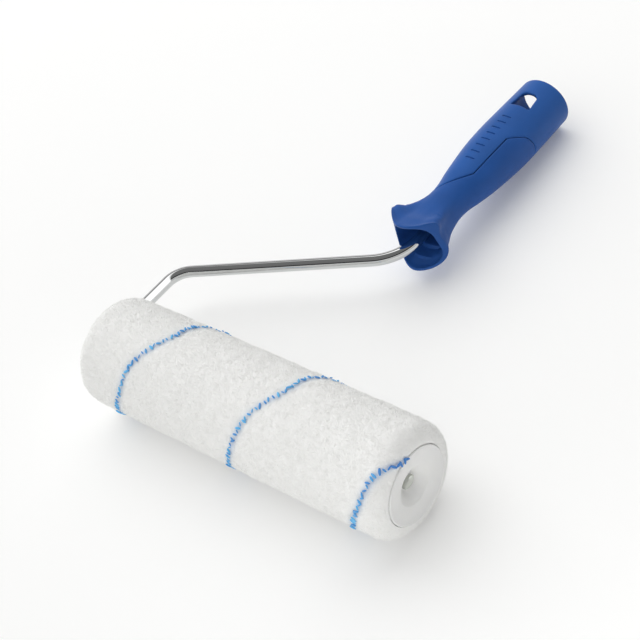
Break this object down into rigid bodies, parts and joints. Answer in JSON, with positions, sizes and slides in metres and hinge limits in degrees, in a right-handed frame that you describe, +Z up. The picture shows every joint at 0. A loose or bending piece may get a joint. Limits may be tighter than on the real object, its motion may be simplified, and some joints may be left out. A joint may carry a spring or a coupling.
{
  "type": "paint roller",
  "caption": "Paint roller: plush sleeve with a spiral marker yarn on a bent chromed rod, moulded handle with soft grip, thumb rest, hanging hole and hollow back end.",
  "frame": {"origin": "on the ground, under the middle of the part's bounding box, with the tool lying on its nap and on the back end of its handle", "axes": "+X along the roller's axis towards its free end, +Y from the roller towards the back of the handle, +Z up"},
  "size_m": [0.1919, 0.2636, 0.0534],
  "materials": {
    "hard_blue": "fine satin moulded polypropylene",
    "soft_blue": "matte soft-touch elastomer",
    "chromed_rod": "bright chromium plate on bent steel rod",
    "white_plastic": "natural moulded polypropylene, satin",
    "plush": "short white plush with a light blue marker yarn"
  },
  "bodies": {
    "frame": {"handle_shell": "hard_blue", "soft_grip": "soft_blue", "wire_frame": "chromed_rod"},
    "roller": {"sleeve_core": "white_plastic", "nap_cover": "plush", "outer_end_cap": "white_plastic", "inner_end_cap": "white_plastic"}
  },
  "joints": [
    {"name": "roller_spin", "type": "hinge", "parent": "frame", "child": "roller", "pos_m": [0.0075, -0.10511, 0.0267], "axis": [1, 0, 0], "continuous": true}
  ]
}
